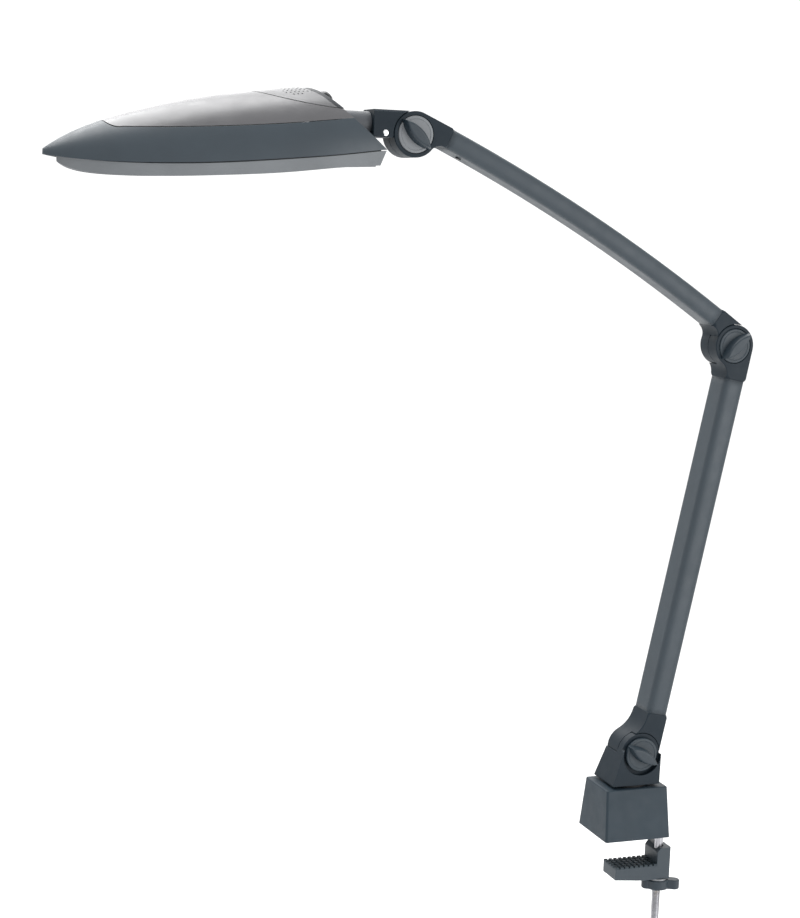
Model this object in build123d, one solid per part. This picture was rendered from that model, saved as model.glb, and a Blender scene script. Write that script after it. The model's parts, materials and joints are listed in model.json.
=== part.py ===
from build123d import *
import os
from math import acos, atan2, cos, hypot, radians, sin, sqrt

# Swing arm desk lamp: a desk clamp carries a turning foot, two folding arms and a long boat-shaped head.
# Millimetres, +Z up. The origin is on the desk's top, under the middle of the clamp head.
# The arms fold in the X-Z plane and the head points to -X. The knobs are on the -Y side.

# ---- driving dimensions: clamp ----
CLAMP_BOTTOM = (68.4, 61.2)          # footprint of the cover, X by Y
CLAMP_TOP = (64.4, 47.4)
CLAMP_HEIGHT = 49.2
COVER_WALL = 2.0
COVER_CORNER = 2.2
COVER_EDGE = 1.5                     # rounding of the cover's top edges
COVER_LIFT = 0.4                     # the pad stands this much lower than the cover's edge
PAD_THICK = 2.4
PAD_X = (-31.0, 18.0)
PAD_HALF = 27.0
PLATE_THICK = 4.0
PLATE_INSET = (2.6, 3.3)             # from the cover's outer edge, X and Y
CORE_Z = (PAD_THICK + PLATE_THICK + 0.1, 45.8)
CORE_HALF = (24.0, 17.0)
PIN_R = 7.0                          # swivel pin
BUSH_R = 9.5
NUT_POCKET = (12.0, 22.0)
NUT_POCKET_R = 12.5
PLATE_SCREWS = [(x, y) for x in (-18, 18) for y in (-12, 12)]
PLATE_SCREW_R = 2.0
PLATE_HEAD_R = 3.8
SPINDLE_X, SPINDLE_Y = 26.8, -22.4
SPINDLE_R = 4.0                      # M8
SPINDLE_END = -106.0
JAW_X = (-22.7, 36.0)
JAW_NEAR_X = -18.3                   # the jaw's end is oblique: this is its -Y corner
JAW_Y = (-31.4, -5.1)
JAW_PLATE_TOP = -25.2
JAW_TIP_BOTTOM = -37.4               # the plate thickens from its tip
JAW_PLATE_BOTTOM = -40.5
JAW_SPINE_X = 21.5
JAW_SPINE_TOP = -9.6
JAW_BUSH_R = 4.6
GRIP_THICK = 2.0
GRIP_PITCH = 5.1
GRIP_GROOVE = 1.7
GRIP_DEEP = 1.5
WING_TOP = JAW_PLATE_BOTTOM - 1.8
WING_HUB_R = 12.0
WING_TALL = 9.2
WING_WIDE = 10.5
WINGS = ((21.8, -28.0), (15.6, 177.0))  # reach and direction of the long wing and the short one
INSERT_R = 7.0

# ---- driving dimensions: joints and arms ----
SWIVEL_GAP = 2.45                    # groove between clamp head and turning foot
TURRET_BASE = (49.3, 41.0)
TURRET_Z = CLAMP_HEIGHT + SWIVEL_GAP
TURRET_LIP = 1.5                     # upright edge round the foot's base
FLANGE_R = 15.0
FLANGE_THICK = 3.0
FLANGE_SCREWS = (-10.5, 10.5)
DRUM_R = 20.0
DRUM_HALF = 15.5                     # each half drum reaches this far from the arms' plane
DRUM_RUN = 0.7                       # radial room round a neighbour's half drum
DISC_R = 12.0                        # friction disc between the half drums
DISC_HALF = 0.4
BASE_SPLIT = -6.6                    # Y of the base joint's friction disc; the other joints split at 0
BOLT_R = 3.0
BOLT_RUN = 0.07
NUT_Y = (7.5, 12.5)
NUT_R = 5.7
CAP_R = 12.5
CAP_THICK = 2.4
KNOB_R = 16.2
KNOB_RUN = 0.5
KNOB_SINK = 3.6                      # depth of the round pocket that the knob's disc sits in
BASE_KNOB_OUT = 3.4                  # the base knob stands further out, clear of the leaning face
FIN_REACH = 18.4
FIN_HALF = 6.4
FIN_TALL = 9.0
TUBE_WIDE = 30.5
TUBE_CORNER = 5.0
TUBE_WALL = 1.8
PLUG_LAND = 1.5                      # straight length of a moulded end beside its tube
PLUG_FADE = 18.0                     # length over which the tube's round corners fade out
SPIGOT_LONG = 24.0                   # of the plug inside its tube
SCREW_LIFT = 0.12
ARM_SCREW_BACK = 19.0                # arm screws from the tube's ends

BASE_PIVOT = (5.0, 81.1)             # X, Z of each joint's axis
LOWER_LEAN = 11.0                    # degrees from upright, towards +X
LOWER_REACH = 400.0                  # between the arm's two joint axes
LOWER_THICK = 21.4
LOWER_OFFSET = 9.5                   # tube axis from the line between the joints
UPPER_LEAN = -61.0
UPPER_REACH = 375.7
UPPER_THICK = 18.0
UPPER_OFFSET = 11.3
UPPER_BOW = 4.8                      # the upper tube is an arc: its ends lean by this many degrees each way
LOWER_ENDS = (40.6, 31.4)            # joint axis to tube end, foot and elbow
UPPER_ENDS = (30.8, 30.8)
ELBOW = (BASE_PIVOT[0] + LOWER_REACH * sin(radians(LOWER_LEAN)),
         BASE_PIVOT[1] + LOWER_REACH * cos(radians(LOWER_LEAN)))
HEAD_PIVOT = (ELBOW[0] + UPPER_REACH * sin(radians(UPPER_LEAN)),
              ELBOW[1] + UPPER_REACH * cos(radians(UPPER_LEAN)))
# each arm joint: axis, lean of the member that holds its nut, turn of its knob, knob's shift out, disc's Y
JOINTS = (
    ("base", BASE_PIVOT, LOWER_LEAN, -33, BASE_KNOB_OUT, BASE_SPLIT),
    ("elbow", ELBOW, UPPER_LEAN + UPPER_BOW, 43, 0, 0),
    ("head", HEAD_PIVOT, 0, -44, 0, 0),
)

# ---- driving dimensions: head ----
BRACKET_END = -38.8                  # bracket's end from the head joint's axis
BRACKET_LOW = -3.8
BRACKET_BEVEL = 1.8
BRACKET_SCREW = (-27.6, 0.2)
NECK_RISE = 7.7                      # roll axis above the head joint's axis
NECK_R = 10.6
SPIGOT_R = 8.0
ROLL_Z = HEAD_PIVOT[1] + NECK_RISE
NECK_START = HEAD_PIVOT[0] + BRACKET_END
NECK_FLANGE_X = NECK_START - 50.0
NECK_STEP_X = NECK_START - 32.0      # inboard of this the neck is as thin as its spigot
RECESS_R = 21.0                      # round recess in which the bracket's end turns
SHELL_WALL = 2.4
RIM_TAPER = 4.5                      # the rim draws in this much from top to bottom
RIM_WALL = 4.0
LIP_TALL = 3.5
LIP_WALL = 1.4
RIM_BACK = 11.5                      # the rim's nose stands this far behind the housing's
SEAM = 0.5                           # gap that shows as a seam
HOLE_PITCH = 3.7
HOLE_R = 0.8
DIFFUSER_UP = 1.4
DIFFUSER_THICK = 2.4
REAR_LEAN = 41.0                     # the rear face falls away at this angle
REAR_AT = (-308.4, 662.2)            # a point on the rear face
BUTTON_R = 6.8
BUTTON_UP = 27.0                     # up the rear face from the point above
BUTTON_DEEP = 2.5
BUTTON_CROWN = 3.2
BUTTON_TALL = 9.6
COLLAR_R = 8.7
COLLAR_TALL = 4.2
# One row per cross-section, nose to rear: distance behind the nose tip, half width,
# height of the rim's lower edge, of the rim's upper edge and of the ridge above the desk.
HEAD_SECTIONS = (
    (0.9, 2.7, 620.3, 625.7, 630.5),
    (14.0, 14.0, 614.6, 624.0, 639.4),
    (33.0, 23.4, 612.0, 622.6, 649.2),
    (60.0, 32.0, 611.2, 622.0, 659.6),
    (100.0, 40.8, 612.2, 622.8, 671.4),
    (150.0, 47.0, 615.2, 625.9, 681.8),
    (200.0, 49.8, 619.6, 630.6, 689.2),
    (245.0, 49.4, 624.8, 635.6, 692.6),
    (300.0, 46.4, 630.2, 641.2, 693.4),
)
NOSE_X = -568.0

# ---- driving dimensions: what the head holds, in a frame that leans with its underside ----
HEAD_LEAN = 4.1
ROOM_AT = (-420.0, 632.5)
REFLECTOR_X = (-84.0, 80.0)
REFLECTOR_HALF = 27.0
REFLECTOR_TALL = 16.0
LAMP_R = 6.0
LAMP_APART = 9.6
LAMP_X = (-76.0, 84.0)
CAP_X = (84.0, 98.0)
HOLDER_X = (98.1, 112.0)
TRAY_Z = 18.0
TRAY_SCREWS = [(x, y) for x in (-30, 60) for y in (-14, 14)]
BALLAST_Z = (TRAY_Z + 1.3, TRAY_Z + 14.0)

os.makedirs("parts", exist_ok=True)


# ---- small makers ----
def save(name, *solids):
    """Write one node; several solids stay separate in it."""
    flat = [solid for shape in solids for solid in shape.solids()]
    shape = flat[0] if len(flat) == 1 else Compound(children=flat)
    export_step(shape, f"parts/{name}.step")


def block(x, y, z):
    """Box between two limits on each axis."""
    size = Box(x[1] - x[0], y[1] - y[0], z[1] - z[0])
    return Pos((x[0] + x[1]) / 2, (y[0] + y[1]) / 2, (z[0] + z[1]) / 2) * size


def post(x, y, radius, z):
    """Round bar along Z."""
    return Pos(x, y, (z[0] + z[1]) / 2) * Cylinder(radius, z[1] - z[0])


def pin(x, z, radius, y):
    """Round bar along Y."""
    return Pos(x, (y[0] + y[1]) / 2, z) * Rot(90, 0, 0) * Cylinder(radius, y[1] - y[0])


def bar(y, z, radius, x):
    """Round bar along X."""
    return Pos((x[0] + x[1]) / 2, y, z) * Rot(0, 90, 0) * Cylinder(radius, x[1] - x[0])


def slab(outline, y):
    """Extrude an X-Z outline between two Y limits."""
    return Pos(0, y[1], 0) * extrude(Plane.XZ * outline, amount=y[1] - y[0])


def hexagon(radius, height):
    """Hexagonal prism across corners 2 x radius, standing on Z = 0."""
    return extrude(RegularPolygon(radius, 6), amount=height)


# ---- clamp ----
def clamp_cover():
    z0, z1 = COVER_LIFT, CLAMP_HEIGHT
    outer = loft([
        Plane.XY.offset(z0) * RectangleRounded(*CLAMP_BOTTOM, COVER_CORNER),
        Plane.XY.offset(z1) * RectangleRounded(*CLAMP_TOP, COVER_CORNER),
    ])
    outer = fillet(outer.edges().group_by(Axis.Z)[-1], COVER_EDGE)
    inner = loft([
        Plane.XY.offset(z0 - 1) * Rectangle(*(side - 2 * COVER_WALL for side in CLAMP_BOTTOM)),
        Plane.XY.offset(z1 - 3) * Rectangle(*(side - 2 * COVER_WALL for side in CLAMP_TOP)),
    ])
    return outer - inner - post(0, 0, 12, (z1 - 10, z1 + 1))


def clamp_core():
    core = block((-CORE_HALF[0], CORE_HALF[0]), (-CORE_HALF[1], CORE_HALF[1]), CORE_Z)
    core -= post(0, 0, BUSH_R, (NUT_POCKET[1], CORE_Z[1] + 1))
    core -= post(0, 0, NUT_POCKET_R, (CORE_Z[0] - 1, NUT_POCKET[1] + 0.01))
    for x, y in PLATE_SCREWS:
        core -= post(x, y, PLATE_SCREW_R + 0.1, (CORE_Z[0] - 1, CORE_Z[0] + 12))
    return core


def spindle_plate():
    half_x, half_y = (side / 2 - inset for side, inset in zip(CLAMP_BOTTOM, PLATE_INSET))
    plate = block((-half_x, half_x), (-half_y, half_y), (PAD_THICK, PAD_THICK + PLATE_THICK))
    plate -= post(SPINDLE_X, SPINDLE_Y, SPINDLE_R, (0, 10))
    for x, y in PLATE_SCREWS:
        plate -= post(x, y, PLATE_SCREW_R + 0.1, (0, 10))
        plate -= post(x, y, PLATE_HEAD_R + 0.2, (0, PAD_THICK + 2.6))
    return plate


def plate_screws():
    low = PAD_THICK + 0.2
    screws = []
    for x, y in PLATE_SCREWS:
        shank = post(x, y, PLATE_SCREW_R, (low + 2.3, CORE_Z[0] + 10))
        screws.append(post(x, y, PLATE_HEAD_R, (low, low + 2.3)) + shank)
    return screws


def desk_pad():
    pad = block(PAD_X, (-PAD_HALF, PAD_HALF), (0, PAD_THICK))
    return fillet(pad.edges().filter_by(Axis.Z), 3)


def clamp_spindle():
    rod = post(SPINDLE_X, SPINDLE_Y, SPINDLE_R, (SPINDLE_END, PAD_THICK + PLATE_THICK))
    return chamfer(rod.edges().group_by(Axis.Z)[0], 1.0)


def clamp_jaw():
    x0, x1 = JAW_X
    z0, z1, z2 = JAW_PLATE_BOTTOM, JAW_PLATE_TOP - GRIP_THICK, JAW_SPINE_TOP
    outline = Polygon((x0, JAW_TIP_BOTTOM), (x0 + 30, z0), (x1, z0), (x1, z2), (JAW_SPINE_X + 3, z2),
                      (JAW_SPINE_X, z2 - 4), (JAW_SPINE_X, z1), (x0, z1), align=None)
    jaw = slab(outline, JAW_Y)
    jaw = fillet(jaw.edges().filter_by(Axis.Z).group_by(Axis.X)[-1], 2.0)
    return jaw - jaw_end() - post(SPINDLE_X, SPINDLE_Y, JAW_BUSH_R, (z0 - 1, z2 + 1))


def jaw_end():
    """What the oblique cut takes off the jaw's tip."""
    x0 = JAW_X[0]
    near_y, far_y = JAW_Y
    corner = Polygon((x0, far_y), (JAW_NEAR_X, near_y), (JAW_NEAR_X, near_y - 1), (x0 - 5, near_y - 1),
                     (x0 - 5, far_y), align=None)
    return Pos(0, 0, JAW_PLATE_BOTTOM - 5) * extrude(corner, amount=30)


def jaw_bush():
    z = (JAW_PLATE_BOTTOM, JAW_SPINE_TOP - 4.2)
    return post(SPINDLE_X, SPINDLE_Y, JAW_BUSH_R, z) - post(SPINDLE_X, SPINDLE_Y, SPINDLE_R + 0.08, z)


def jaw_grip():
    """Rubber tread, its top cut into rows of blocks."""
    x, y, top = (JAW_X[0], JAW_SPINE_X - 0.1), JAW_Y, JAW_PLATE_TOP
    pad = block(x, y, (top - GRIP_THICK, top)) - jaw_end()
    for i in range(1, int((x[1] - x[0]) / GRIP_PITCH) + 1):
        edge = x[0] + i * GRIP_PITCH
        pad -= block((edge - GRIP_GROOVE, edge), (y[0] - 1, y[1] + 1), (top - GRIP_DEEP, top + 1))
    for j in range(1, int((y[1] - y[0]) / GRIP_PITCH) + 1):
        edge = y[0] + j * GRIP_PITCH
        pad -= block((x[0] - 1, x[1] + 1), (edge - GRIP_GROOVE, edge), (top - GRIP_DEEP + 0.3, top + 1))
    return pad


def wing_washer():
    z = (WING_TOP + 0.1, JAW_PLATE_BOTTOM - 0.1)
    return post(SPINDLE_X, SPINDLE_Y, 10.5, z) - post(SPINDLE_X, SPINDLE_Y, SPINDLE_R + 0.09, z)


def wing_nut():
    z0 = WING_TOP - WING_TALL
    nut = extrude(Circle(WING_HUB_R), amount=WING_TALL)
    nut = chamfer(nut.edges().filter_by(GeomType.CIRCLE), 0.8)
    for reach, turn in WINGS:
        wing = extrude(SlotOverall(reach, WING_WIDE, align=(Align.MIN, Align.CENTER)), amount=WING_TALL)
        nut += Rot(0, 0, turn) * chamfer(wing.faces().filter_by(Axis.Z).edges(), 0.8)
    nut -= post(0, 0, INSERT_R, (-1, WING_TALL + 1))
    return Pos(SPINDLE_X, SPINDLE_Y, z0) * nut


def wing_nut_insert():
    z = (WING_TOP - WING_TALL + 0.5, WING_TOP - 0.2)
    bore = post(SPINDLE_X, SPINDLE_Y, SPINDLE_R + BOLT_RUN, z)
    return post(SPINDLE_X, SPINDLE_Y, INSERT_R, z) - bore


# ---- turning foot ----
def turret_outline():
    """Side outline: the foot's base drawn up to the joint's drum."""
    half = TURRET_BASE[0] / 2
    base = Pos(0, TURRET_Z + 0.5) * Rectangle(2 * half, 1)
    drum = Pos(*BASE_PIVOT) * Circle(DRUM_R)
    return make_hull(base.edges() + drum.edges())


def turret_housing():
    half = TURRET_BASE[1] / 2
    px, pz = BASE_PIVOT
    body = slab(turret_outline(), (-half, half))
    # the two broad faces lean in from the base to the drum's flat faces
    for side in (-1, 1):
        far = side * (half + 9)
        lean = Polygon((side * half, TURRET_Z + TURRET_LIP), (far, TURRET_Z + TURRET_LIP), (far, 130),
                       (side * DRUM_HALF, 130), (side * DRUM_HALF, pz), align=None)
        body -= Pos(-60, 0, 0) * extrude(Plane.YZ * lean, amount=120)
        body -= pin(px, pz, DRUM_R, tuple(sorted((side * DRUM_HALF, side * (half + 9)))))
    # the arm's half drum turns on the far side
    body -= pin(px, pz, DRUM_R + DRUM_RUN, (BASE_SPLIT - DISC_HALF, half + 9))
    body -= pin(px, pz, KNOB_R + KNOB_RUN, (-half - 9, KNOB_SINK - DRUM_HALF - BASE_KNOB_OUT))
    body -= pin(px, pz, BOLT_R + BOLT_RUN, (-half, half))
    body -= post(0, 0, FLANGE_R + 0.1, (TURRET_Z - 1, TURRET_Z + FLANGE_THICK + 0.1))
    for x in FLANGE_SCREWS:
        body -= post(x, 0, 1.6, (TURRET_Z, TURRET_Z + 9))
    return body


def swivel_pin():
    pin_solid = post(0, 0, FLANGE_R, (TURRET_Z + 0.1, TURRET_Z + 0.1 + FLANGE_THICK))
    pin_solid += post(0, 0, PIN_R, (NUT_POCKET[0], TURRET_Z + 1))
    for x in FLANGE_SCREWS:
        pin_solid -= post(x, 0, 1.6, (TURRET_Z - 1, TURRET_Z + 9))
    return pin_solid


def swivel_bush():
    z = (NUT_POCKET[1] + 0.2, CORE_Z[1])
    return post(0, 0, BUSH_R, z) - post(0, 0, PIN_R + 0.06, z)


def swivel_nut():
    z0 = NUT_POCKET[0] + 0.4
    return Pos(0, 0, z0) * hexagon(11.4, 8.0) - post(0, 0, PIN_R, (z0 - 1, z0 + 9))


def swivel_washer():
    z = (CLAMP_HEIGHT + 0.12, TURRET_Z)
    return post(0, 0, 20, z) - post(0, 0, PIN_R + 0.1, z)


# ---- what every arm joint holds, in the joint's own frame: axis along Y through the origin ----
def knob(turn):
    """Round knob with a lens-shaped grip fin, its fin turned by so many degrees."""
    face = -DRUM_HALF - 0.5
    disc = pin(0, 0, KNOB_R, (face, KNOB_SINK - DRUM_HALF - 0.3))
    disc = chamfer(disc.edges().group_by(Axis.Y)[0], 0.5)
    arc_r = (FIN_REACH ** 2 + FIN_HALF ** 2) / (2 * FIN_HALF)
    shift = arc_r - FIN_HALF
    lens = (Pos(0, -shift) * Circle(arc_r)) & (Pos(0, shift) * Circle(arc_r))
    fin = extrude(Plane.XZ * lens, amount=FIN_TALL, taper=9)
    fin = Rot(0, -turn, 0) * Pos(0, face + 0.4, 0) * fin
    body = disc + fin
    body -= pin(0, 0, 5.2, (-DRUM_HALF + 0.2, 0))
    return body - pin(0, 0, BOLT_R, (-DRUM_HALF - 3, 0))


def knob_bolt(out):
    """Bolt whose hexagonal head is moulded into a knob that stands out by so much."""
    head = Pos(0, -DRUM_HALF + 3.3 - out, 0) * Rot(90, 0, 0) * hexagon(5.1, 3.0)
    return head + pin(0, 0, BOLT_R, (-DRUM_HALF - 2.8 - out, NUT_Y[1] - 0.3))


def joint_nut():
    nut = Pos(0, NUT_Y[1], 0) * Rot(90, 0, 0) * hexagon(NUT_R, NUT_Y[1] - NUT_Y[0])
    return nut - pin(0, 0, BOLT_R + BOLT_RUN, (NUT_Y[0] - 1, NUT_Y[1] + 1))


def friction_disc():
    return pin(0, 0, DISC_R, (-DISC_HALF, DISC_HALF)) - pin(0, 0, BOLT_R + 0.09, (-1, 1))


def joint_cap():
    y = (DRUM_HALF - CAP_THICK, DRUM_HALF + 0.4)
    cap = pin(0, 0, CAP_R - 0.1, y)
    return chamfer(cap.edges().group_by(Axis.Y)[-1], 0.4)


def far_drum_cuts():
    """Nut pocket, cap recess and bolt hole of the half drum at +Y."""
    pocket = Pos(0, DRUM_HALF, 0) * Rot(90, 0, 0) * hexagon(NUT_R + 0.05, DRUM_HALF - NUT_Y[0] + 0.05)
    recess = pin(0, 0, CAP_R, (DRUM_HALF - CAP_THICK - 0.05, DRUM_HALF + 5))
    return [pocket, recess, pin(0, 0, BOLT_R + BOLT_RUN, (-20, 20))]


def near_drum_cuts():
    """Knob pocket and bolt hole of the half drum at -Y."""
    return [pin(0, 0, KNOB_R + KNOB_RUN, (-DRUM_HALF - 5, KNOB_SINK - DRUM_HALF)),
            pin(0, 0, BOLT_R + BOLT_RUN, (-20, 20))]


# ---- arms, in an arm's own frame: foot joint at the origin, elbow joint up +Z, tube offset to +X ----
def arm_plug(thick, offset, end, side, split=0.0):
    """Moulded arm end: joint axis at the origin, tube end at Z = end, half drum on one side of the split."""
    near, far = offset - thick / 2, offset + thick / 2
    # the far side runs from the tube's face to the drum as its tangent
    touch = atan2(end, far) - acos(DRUM_R / hypot(far, end))
    meet = (0.999 * DRUM_R * cos(touch), 0.999 * DRUM_R * sin(touch))
    stem = Polygon((near, 0), meet, (far, end), (near, end), align=None)
    outline = Sketch() + Circle(DRUM_R) + stem
    corner = outline.vertices().sort_by_distance((near, sqrt(DRUM_R ** 2 - near ** 2), 0))[0]
    # the near side is one arc from the drum to just short of the tube
    straight = end - PLUG_LAND
    blend = (straight ** 2 - DRUM_R ** 2 + near ** 2) / (2 * (DRUM_R + near))
    whole = slab(fillet(corner, blend), (-DRUM_HALF, DRUM_HALF))
    faces = whole.edges().group_by(Axis.Y)
    whole = chamfer(faces[0] + faces[-1], 0.6)
    # the tube's rounded corners fade out towards the drum
    fade = loft([
        Plane.XY.offset(end) * (Pos(offset, 0) * RectangleRounded(thick, TUBE_WIDE, TUBE_CORNER)),
        Plane.XY.offset(end - PLUG_FADE) * (Pos(offset, 0) * RectangleRounded(
            thick + 2 * PLUG_FADE, 2 * DRUM_HALF + 0.2, TUBE_CORNER)),
    ])
    body = whole & (fade + block((-40, 60), (-30, 30), (-30, end - PLUG_FADE + 0.01)))
    body += whole & pin(0, 0, DRUM_R + 0.02, (-30, 30))
    # the neighbour's half drum turns in the other half
    other = (-DRUM_HALF - 1, split + DISC_HALF) if side > 0 else (split - DISC_HALF, DRUM_HALF + 1)
    body -= pin(0, 0, DRUM_R + DRUM_RUN, other)
    for cut in far_drum_cuts() if side > 0 else near_drum_cuts():
        body -= cut
    # spigot inside the tube
    inner = TUBE_WALL + 0.15
    spigot = RectangleRounded(thick - 2 * inner, TUBE_WIDE - 2 * inner, TUBE_CORNER - inner)
    return body + extrude(Plane.XY.offset(end - 0.5) * (Pos(offset, 0) * spigot), amount=SPIGOT_LONG)


def tube_section(thick):
    inner = RectangleRounded(thick - 2 * TUBE_WALL, TUBE_WIDE - 2 * TUBE_WALL, TUBE_CORNER - TUBE_WALL)
    return RectangleRounded(thick, TUBE_WIDE, TUBE_CORNER) - inner


def arm_tube(thick, offset, reach, ends, bow):
    """Tube between the two ends; a bowed one is an arc to +X, its ends leaning by bow degrees."""
    if not bow:
        start = Plane.XY.offset(ends[0]) * Pos(offset, 0)
        return extrude(start * tube_section(thick), amount=reach - ends[0] - ends[1])
    lean = radians(bow)
    x = offset * cos(lean) + ends[0] * sin(lean)
    z = ends[0] * cos(lean) - offset * sin(lean)
    arc_r = (reach / 2 - z) / sin(lean)
    start = Plane(origin=(x, 0, z), x_dir=(cos(lean), 0, -sin(lean)), z_dir=(sin(lean), 0, cos(lean)))
    centre = (x - arc_r * cos(lean), 0, reach / 2)
    return revolve(start * tube_section(thick), Axis(centre, (0, -1, 0)), 2 * bow)


def arm_screw(thick, offset, z, outward):
    """Low round-headed screw through the tube's flat face; outward is +1 or -1 along X."""
    face = offset + outward * (thick / 2 + SCREW_LIFT)
    head = (face, face + outward * 1.3)
    shank = (face - outward * 5.0, face)
    return bar(0, z, 2.6, tuple(sorted(head))) + bar(0, z, 1.4, tuple(sorted(shank)))


def place_lower(shape):
    return Pos(BASE_PIVOT[0], 0, BASE_PIVOT[1]) * Rot(0, LOWER_LEAN, 0) * shape


def place_upper(shape):
    return Pos(ELBOW[0], 0, ELBOW[1]) * Rot(0, UPPER_LEAN, 0) * shape


def at(pivot, shape):
    return Pos(pivot[0], 0, pivot[1]) * shape


def make_arm(name, thick, offset, reach, ends, bow, place, foot_split, top_screw):
    """One arm: its tube, two moulded ends and the screws that hold them; top_screw is +1 or -1 along X."""
    foot_at, top_at = Rot(0, bow, 0), Pos(0, 0, reach) * Rot(0, -bow, 0)
    tube = arm_tube(thick, offset, reach, ends, bow)
    foot = foot_at * arm_plug(thick, offset, ends[0], 1, foot_split)
    top = top_at * mirror(arm_plug(thick, offset, ends[1], -1), Plane.XY)
    screws = []
    rows = ((foot_at, ends[0] + ARM_SCREW_BACK, 1), (top_at, -ends[1] - ARM_SCREW_BACK, top_screw))
    for end_at, z, outward in rows:
        drill = end_at * bar(0, z, 1.4, tuple(sorted((offset + outward * 2.0, offset + outward * 12.0))))
        tube -= drill
        foot -= drill
        top -= drill
        screws.append(end_at * arm_screw(thick, offset, z, outward))
    save(f"{name}_tube", place(tube))
    save(f"{name}_foot_plug", place(foot))
    save(f"{name}_top_plug", place(top))
    save(f"{name}_screws", *[place(screw) for screw in screws])


# ---- head bracket and neck ----
def head_bracket():
    x, z = BRACKET_SCREW
    body = block((BRACKET_END, 0), (-DRUM_HALF, DRUM_HALF), (BRACKET_LOW, DRUM_R))
    body = chamfer(body.edges().filter_by(Axis.X), BRACKET_BEVEL)
    body += pin(0, 0, DRUM_R, (DISC_HALF, DRUM_HALF))
    body -= pin(0, 0, DRUM_R + DRUM_RUN, (-DRUM_HALF - 1, DISC_HALF))
    for cut in far_drum_cuts():
        body -= cut
    body -= bar(0, NECK_RISE, SPIGOT_R + 0.07, (BRACKET_END - 1, BRACKET_END + 17))
    body -= pin(x, z, 1.5, (-DRUM_HALF - 1, -9))
    body -= pin(x, z, 3.0, (-DRUM_HALF - 1, -DRUM_HALF + 1.0))
    return body


def bracket_screw():
    x, z = BRACKET_SCREW
    head = pin(x, z, 2.8, (-DRUM_HALF - 0.5, -DRUM_HALF + 0.9))
    head = fillet(head.edges().group_by(Axis.Y)[0], 0.5)
    return head + pin(x, z, 1.5, (-DRUM_HALF + 0.9, -9.2))


def head_neck():
    """Tube that the head rolls on: thin inside the head, thick where it shows, thin again in the bracket."""
    x1 = NECK_START - 0.3
    neck = bar(0, ROLL_Z, NECK_R, (NECK_STEP_X, x1))
    neck += bar(0, ROLL_Z, SPIGOT_R, (NECK_FLANGE_X, NECK_START + 16))
    neck += bar(0, ROLL_Z, NECK_R + 1.6, (NECK_FLANGE_X, NECK_FLANGE_X + 3.5))
    return neck - bar(0, ROLL_Z, 5.0, (NECK_FLANGE_X - 1, NECK_START + 17))


def neck_hole():
    """Stepped room for the neck through the head's rear wall."""
    room = bar(0, ROLL_Z, NECK_R + 0.2, (NECK_STEP_X - 0.2, NECK_START + 20))
    return room + bar(0, ROLL_Z, SPIGOT_R + 0.2, (NECK_FLANGE_X + 4, NECK_START))


# ---- head housing ----
def section_plane(distance):
    return Plane(origin=(NOSE_X + distance, 0, 0), x_dir=(0, 1, 0), z_dir=(1, 0, 0))


def dome(inset=0.0, drop=0.0):
    """The housing above the rim as one solid, shrunk all round by inset and carried down by drop."""
    sections = []
    for distance, half, _, rim_top, ridge in HEAD_SECTIONS:
        wide, tall = max(half - inset, 0.8), max(ridge - rim_top - inset, 1.2)
        arc = EllipticalCenterArc((0, rim_top), wide, tall, 0, arc_size=180)
        low = rim_top - 0.01 - drop
        floor = Polyline((-wide, rim_top), (-wide, low), (wide, low), (wide, rim_top))
        sections.append(section_plane(distance + inset) * make_face(arc + floor))
    return loft(sections)


def rim_start(distance):
    """The rim's sections stand further back than the housing's, most of all at the nose."""
    return distance + RIM_BACK * (1 - distance / 330)


def rim_solid(inset=0.0, top_add=0.0, low_add=0.0):
    """The rim's outer form, shrunk by inset, its top and bottom moved by the two additions."""
    sections = []
    for distance, half, low, rim_top, _ in HEAD_SECTIONS:
        wide = max(half * 0.985 - inset, 1.0)
        narrow = max(wide - RIM_TAPER, 0.5)
        low_z, top_z = low - low_add, rim_top - SEAM + top_add
        outline = Polygon((-narrow, low_z), (narrow, low_z), (wide, top_z), (-wide, top_z), align=None)
        sections.append(section_plane(rim_start(distance) + inset) * outline)
    return loft(sections)


def rear_cutter(inward=0.0):
    """Everything behind the sloping rear face, in side view, moved inward along the face's normal."""
    slope = radians(REAR_LEAN)
    run = (cos(slope), -sin(slope))
    low = (REAR_AT[0] + 62 * run[0], REAR_AT[1] + 62 * run[1])
    knee = (REAR_AT[0] - 29 * run[0], REAR_AT[1] - 29 * run[1])
    crest = (-349.0, 692.6)
    edges = ThreePointArc(crest, (-338.6, 687.9), knee)
    edges += Polyline(knee, low, (-200, low[1]), (-200, 730), (crest[0], 730), crest)
    return Pos(-inward * sin(slope), 0, -inward * cos(slope)) * slab(make_face(edges), (-90, 90))


def above_seam(gap=0.0):
    """Side view region above the long seam of the top panel."""
    front, low = -520.4, 651.0
    turn = (front + 15, low - 0.8 + gap)
    arc = ThreePointArc(turn, (-408, 655.4 + gap), (-270, 672.4 + gap))
    corner = ThreePointArc((front + gap, low + 5.6), (front + 4.2 + gap, low + 0.9 + gap), turn)
    rest = Polyline((-270, 672.4 + gap), (-270, 730), (front + gap, 730), (front + gap, low + 5.6))
    return slab(make_face(arc + corner + rest), (-90, 90))


def above_vent_seam(gap=0.0):
    """Side view region above the vent panel's seam."""
    arc = ThreePointArc((-402, 688.6 + gap), (-358, 677.6 + gap), (-300, 672.6 + gap))
    rest = Polyline((-300, 672.6 + gap), (-300, 730), (-402, 730), (-402, 688.6 + gap))
    return slab(make_face(arc + rest), (-90, 90))


def neck_recess():
    """Round recess in the rear face in which the bracket turns."""
    return bar(0, ROLL_Z, RECESS_R, (NECK_START - 4.5, NECK_START + 40))


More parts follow.
